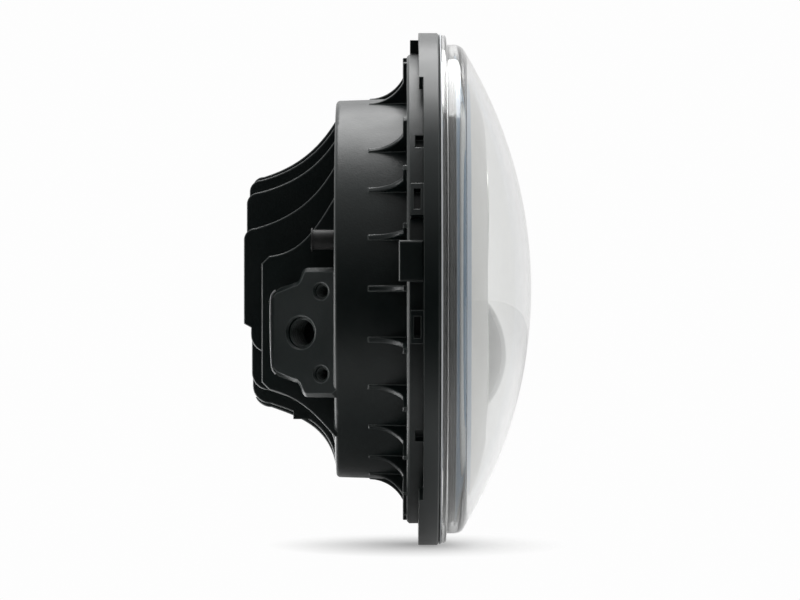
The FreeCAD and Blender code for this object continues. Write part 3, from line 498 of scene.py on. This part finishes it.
# the deep cups of the high beams, their inside in rings of flat facets
bowlLook = {
    "place": (0.024, 0.022), "mouth": 0.0175, "throat": 0.0050, "neck": 0.0020, "wall": 0.0014,
    "lip": 0.0016, "wallShare": 0.35, "neckShare": 0.65, "rings": 6, "steps": 28,
    "smooth": 12.0,
}
for side, sign in sides:
    low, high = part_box("high_beam_reflector_" + side)
    back = low.x
    front = high.x
    throatX = back + bowlLook["neck"]
    focal = (bowlLook["mouth"] ** 2 - bowlLook["throat"] ** 2) / (4 * (front - throatX))
    pole = throatX - bowlLook["throat"] ** 2 / (4 * focal)
    radii = [bowlLook["throat"] + (bowlLook["mouth"] - bowlLook["throat"]) * i / bowlLook["rings"]
             for i in range(bowlLook["rings"] + 1)]
    inside = [(pole + r ** 2 / (4 * focal), r) for r in radii]
    wall = bowlLook["wall"]
    outside = [(x - wall, r + wall * bowlLook["wallShare"]) for x, r in inside[1:]]
    lipRadius = bowlLook["mouth"] + bowlLook["lip"]
    neckRadius = bowlLook["throat"] + wall * bowlLook["neckShare"]
    points = ([(back, bowlLook["throat"])] + inside
              + [(front, lipRadius), (front - bowlLook["lip"], lipRadius)]
              + outside[::-1] + [(throatX, neckRadius), (back, neckRadius)])
    centre = (0.0, sign * bowlLook["place"][0], bowlLook["place"][1])
    bowl = turnedPiece("high_beam_bowl_" + side, points, bowlLook, centre)
    finishPiece(bowl, ["high_beam_reflector_" + side], "reflector_bright")
print("optics turned")

# tapped threads in the mounting pads, each of the six bores with a winding of its own
threadLook = {
    "tilt": 28.0, "faceY": 0.0555, "drumBack": -0.03275, "middleZ": -0.0148,
    "start": 0.0007, "rootShare": 0.985, "depthShare": 0.45, "crestSpan": (0.85, 1.15),
    "steps": 40, "thick": 0.00012, "smooth": 35.0,
    # bore radius, pitch, turns, along the pad, across it
    "bores": [(0.0052, 0.0015, 6, 0.0129, 0.0), (0.0025, 0.0008, 8, 0.0051, 0.0139),
              (0.0025, 0.0008, 8, 0.0051, -0.0139)],
}


def threadInBore(pieceName, bore, sign):
    radius, pitch, turns, along, across = bore
    root = radius * threadLook["rootShare"]
    crest = root - pitch * threadLook["depthShare"]
    crestStart, crestEnd = [pitch / 2 * share for share in threadLook["crestSpan"]]
    points = [(0.0, root), (crestStart, crest), (crestEnd, crest), (pitch, root)]
    piece = drawnLine(pieceName, points)
    bpy.ops.object.mode_set(mode="OBJECT")
    applyModifier(piece, "SCREW", axis="X", screw_offset=pitch, iterations=turns,
                  steps=threadLook["steps"], render_steps=threadLook["steps"],
                  use_merge_vertices=False)
    bpy.ops.object.mode_set(mode="EDIT")
    bpy.ops.mesh.select_all(action="SELECT")
    bpy.ops.mesh.remove_doubles(threshold=drawLook["sameOnTurn"])
    bpy.ops.object.mode_set(mode="OBJECT")
    applyModifier(piece, "SOLIDIFY", thickness=threadLook["thick"], offset=0.0)
    # the winding's X axis goes into the pad, square to its face
    tilt = math.radians(threadLook["tilt"])
    mouth = Vector((threadLook["drumBack"] - along * math.cos(tilt),
                    sign * (threadLook["faceY"] - along * math.sin(tilt)),
                    threadLook["middleZ"] + across))
    inwards = Vector((math.sin(tilt), -sign * math.cos(tilt), 0.0))
    pickOnly(piece)
    piece.rotation_euler = inwards.to_track_quat("X", "Z").to_euler()
    piece.location = mouth + inwards * threadLook["start"]
    bpy.ops.object.transform_apply(location=True, rotation=True, scale=True)
    return piece


for side, sign in sides:
    windings = [threadInBore("winding", bore, sign) for bore in threadLook["bores"]]
    pickNone()
    for winding in windings:
        winding.select_set(True)
    bpy.context.view_layer.objects.active = windings[0]
    bpy.ops.object.join()
    threads = bpy.context.object
    threads.name = "pad_threads_" + side
    bpy.ops.object.mode_set(mode="EDIT")
    bpy.ops.mesh.select_all(action="SELECT")
    bpy.ops.mesh.normals_make_consistent(inside=False)
    bpy.ops.object.mode_set(mode="OBJECT")
    bpy.ops.object.shade_smooth_by_angle(angle=math.radians(threadLook["smooth"]))
    finishPiece(threads, [], "cast_black")
print("threads cut")

# a thin line of bare metal, a painted highlight on the rounded edge where each pad's rear end
# meets the wall it stands on
padHighlightLook = {
    "wallY": 0.0441, "thick": 0.00042, "levels": 2, "roundSteps": 3, "smooth": 50.0,
    # (x, z) along it, from the upper corner down
    "path": [(-0.0526, -0.0006), (-0.0534, -0.0012), (-0.0541, -0.0023), (-0.0544, -0.0042),
             (-0.0543, -0.0140), (-0.0541, -0.0241), (-0.0539, -0.0265), (-0.0534, -0.0279),
             (-0.0525, -0.0287)],
}
for side, sign in sides:
    line = drawnLine("pad_highlight_line_" + side, padHighlightLook["path"])
    bpy.ops.object.mode_set(mode="OBJECT")
    levels = padHighlightLook["levels"]
    applyModifier(line, "SUBSURF", levels=levels, render_levels=levels)
    pickOnly(line)
    bpy.ops.object.convert(target="CURVE")
    line.data.bevel_depth = padHighlightLook["thick"]
    line.data.bevel_resolution = padHighlightLook["roundSteps"]
    line.data.use_fill_caps = True
    bpy.ops.object.convert(target="MESH")
    bpy.ops.transform.translate(value=(0.0, sign * padHighlightLook["wallY"], 0.0))
    bpy.ops.object.transform_apply(location=True, rotation=True, scale=True)
    bpy.ops.object.mode_set(mode="EDIT")
    bpy.ops.mesh.select_all(action="SELECT")
    bpy.ops.mesh.remove_doubles(threshold=drawLook["sameOnLine"])
    bpy.ops.mesh.normals_make_consistent(inside=False)
    bpy.ops.object.mode_set(mode="OBJECT")
    bpy.ops.object.shade_smooth_by_angle(angle=math.radians(padHighlightLook["smooth"]))
    finishPiece(line, [], "plate_metal")
print("pad lines drawn")

# two numbers together are where a change along X or Y, or with distance, starts and ends
floorLook = {
    "height": -0.0892, "size": 6.0, "albedo": 0.56, "seenAlbedo": 0.72, "glow": 0.28,
    "white": 0.985,
    "shadowMiddle": (0.0052, -0.0040, 0.0), "shadowShape": (1.25, 0.84, 0.0),
    "whiteFrom": (0.004, 0.066),
    "lensGloss": 0.50, "lensX": (-0.015, 0.015),
    "rearGloss": 3.5, "rearX": (-0.09, -0.06), "rearY": (-0.06, -0.03),
    "glossY": (-0.14, -0.10), "darkY": (-0.22, -0.10),
}
pickNone()
bpy.ops.mesh.primitive_plane_add(size=floorLook["size"], location=(0, 0, floorLook["height"]))
floor = bpy.context.object
floor.name = "studio_floor"

floorFinish = bpy.data.materials.new("studio_floor")
floorFinish.use_nodes = True
tree = floorFinish.node_tree
tree.nodes.clear()
output = tree.nodes.new("ShaderNodeOutputMaterial")
matt = tree.nodes.new("ShaderNodeBsdfDiffuse")
path = tree.nodes.new("ShaderNodeLightPath")
place = tree.nodes.new("ShaderNodeTexCoord")
parts = tree.nodes.new("ShaderNodeSeparateXYZ")
tree.links.new(place.outputs["Object"], parts.inputs["Vector"])
seen = mathOf(tree, "MAXIMUM", path.outputs["Is Camera Ray"], path.outputs["Is Transmission Ray"])
floorGrey = (floorLook["albedo"],) * 3
seenGrey = (floorLook["seenAlbedo"],) * 3
tree.links.new(mixedColour(tree, seen, floorGrey, seenGrey), matt.inputs["Color"])
# for gloss the floor glows before the lens and behind the housing, but not under the drum
notThrough = mathOf(tree, "SUBTRACT", 1.0, path.outputs["Is Transmission Ray"])
isGlossy = mathOf(tree, "MULTIPLY", path.outputs["Is Glossy Ray"], notThrough)
near = rampOf(tree, parts.outputs["Y"], 0.0, 1.0, *floorLook["glossY"])
beforeLens = rampOf(tree, parts.outputs["X"], 0.0, floorLook["lensGloss"], *floorLook["lensX"])
rearAcross = rampOf(tree, parts.outputs["X"], floorLook["rearGloss"], 0.0, *floorLook["rearX"])
rearAlong = rampOf(tree, parts.outputs["Y"], 0.0, 1.0, *floorLook["rearY"])
behindHousing = mathOf(tree, "MULTIPLY", rearAcross, rearAlong)
beside = mathOf(tree, "MULTIPLY", near, mathOf(tree, "ADD", beforeLens, behindHousing))
seenGlow = mathOf(tree, "MULTIPLY", seen, floorLook["glow"])
glossGlow = mathOf(tree, "MULTIPLY", isGlossy, beside)
glowing = mathOf(tree, "ADD", seenGlow, glossGlow)
glow = tree.nodes.new("ShaderNodeEmission")
tree.links.new(glowing, glow.inputs["Strength"])
both = tree.nodes.new("ShaderNodeAddShader")
tree.links.new(matt.outputs["BSDF"], both.inputs[0])
tree.links.new(glow.outputs["Emission"], both.inputs[1])
# away from the lamp the floor and the shadow on it fade into plain backdrop white
shape = tree.nodes.new("ShaderNodeMapping")
shape.inputs["Location"].default_value = floorLook["shadowMiddle"]
shape.inputs["Scale"].default_value = floorLook["shadowShape"]
tree.links.new(place.outputs["Object"], shape.inputs["Vector"])
reach = tree.nodes.new("ShaderNodeVectorMath")
reach.operation = "LENGTH"
tree.links.new(shape.outputs["Vector"], reach.inputs[0])
away = rampOf(tree, reach.outputs["Value"], 0.0, 1.0, *floorLook["whiteFrom"])
plain = tree.nodes.new("ShaderNodeEmission")
plain.inputs["Strength"].default_value = floorLook["white"]
floorMix = tree.nodes.new("ShaderNodeMixShader")
tree.links.new(mathOf(tree, "MULTIPLY", away, seen), floorMix.inputs["Fac"])
tree.links.new(both.outputs["Shader"], floorMix.inputs[1])
tree.links.new(plain.outputs["Emission"], floorMix.inputs[2])
# for gloss the floor between the lamp and the camera lies in the dark part of the room
dark = tree.nodes.new("ShaderNodeBsdfDiffuse")
dark.inputs["Color"].default_value = (0.0, 0.0, 0.0, 1.0)
frontMix = tree.nodes.new("ShaderNodeMixShader")
front = rampOf(tree, parts.outputs["Y"], 1.0, 0.0, *floorLook["darkY"])
tree.links.new(mathOf(tree, "MULTIPLY", front, isGlossy), frontMix.inputs["Fac"])
tree.links.new(floorMix.outputs["Shader"], frontMix.inputs[1])
tree.links.new(dark.outputs["BSDF"], frontMix.inputs[2])
tree.links.new(frontMix.outputs["Shader"], output.inputs["Surface"])
floor.data.materials.append(floorFinish)
print("floor laid")

# the backdrop behind the lamp is white, the room behind the camera dark
skyLook = {
    "front": 0.02, "behind": 0.95, "behindY": (-0.10, 0.45), "above": 0.50, "aboveZ": (0.2, 1.0),
    "diffuseFront": 0.35, "diffuse": 0.55, "diffuseY": (-0.3, 0.5), "white": 0.985,
}
world = bpy.data.worlds.new("studio_world")
bpy.context.scene.world = world
world.use_nodes = True
tree = world.node_tree
tree.nodes.clear()
output = tree.nodes.new("ShaderNodeOutputWorld")
place = tree.nodes.new("ShaderNodeTexCoord")
parts = tree.nodes.new("ShaderNodeSeparateXYZ")
tree.links.new(place.outputs["Generated"], parts.inputs["Vector"])
path = tree.nodes.new("ShaderNodeLightPath")
behind = rampOf(tree, parts.outputs["Y"], skyLook["front"], skyLook["behind"],
                *skyLook["behindY"])
above = rampOf(tree, parts.outputs["Z"], 0.0, skyLook["above"], *skyLook["aboveZ"])
level = mathOf(tree, "MINIMUM", mathOf(tree, "ADD", behind, above), 1.0)
lighting = rampOf(tree, parts.outputs["Y"], skyLook["diffuseFront"], skyLook["diffuse"],
                  *skyLook["diffuseY"])
notDiffuse = mathOf(tree, "SUBTRACT", 1.0, path.outputs["Is Diffuse Ray"])
forDiffuse = mathOf(tree, "MULTIPLY", lighting, path.outputs["Is Diffuse Ray"])
forRest = mathOf(tree, "MULTIPLY", level, notDiffuse)
shown = mathOf(tree, "ADD", forDiffuse, forRest)
sky = tree.nodes.new("ShaderNodeBackground")
sky.inputs["Color"].default_value = (1.0, 1.0, 1.0, 1.0)
tree.links.new(shown, sky.inputs["Strength"])
white = tree.nodes.new("ShaderNodeBackground")
white.inputs["Color"].default_value = (1.0, 1.0, 1.0, 1.0)
white.inputs["Strength"].default_value = skyLook["white"]
seen = mathOf(tree, "MAXIMUM", path.outputs["Is Camera Ray"], path.outputs["Is Transmission Ray"])
skyMix = tree.nodes.new("ShaderNodeMixShader")
tree.links.new(seen, skyMix.inputs["Fac"])
tree.links.new(sky.outputs["Background"], skyMix.inputs[1])
tree.links.new(white.outputs["Background"], skyMix.inputs[2])
tree.links.new(skyMix.outputs["Shader"], output.inputs["Surface"])

lampLooks = [
    # name, place, width, height, power
    ("top_softbox", (0.02, 0.30, 0.87), 0.75, 0.8, 7.2),
    ("side_fill", (-0.90, -0.55, 0.10), 0.7, 0.9, 0.20),
    ("left_strip", (-0.90, 0.10, -0.02), 0.30, 0.30, 1.6),
]
# every lamp looks at the origin
aim = Vector((0.0, 0.0, 0.0))
for name, place, width, height, power in lampLooks:
    light = bpy.data.lights.new(name, "AREA")
    light.shape = "RECTANGLE"
    light.size = width
    light.size_y = height
    light.energy = power
    holder = bpy.data.objects.new(name, light)
    bpy.context.scene.collection.objects.link(holder)
    holder.location = place
    holder.rotation_euler = (aim - Vector(place)).to_track_quat("-Z", "Y").to_euler()
print("studio lit")

cameraLook = {"place": (-0.01062, -1.5, -0.00383), "lens": 193.8, "sensor": 36.0}
camera = bpy.data.objects.new("photo_camera", bpy.data.cameras.new("photo_camera"))
bpy.context.scene.collection.objects.link(camera)
camera.data.lens = cameraLook["lens"]
camera.data.sensor_width = cameraLook["sensor"]
camera.location = cameraLook["place"]
camera.rotation_euler = (math.pi / 2, 0.0, 0.0)
bpy.context.scene.camera = camera
bpy.context.scene.view_settings.view_transform = "Standard"
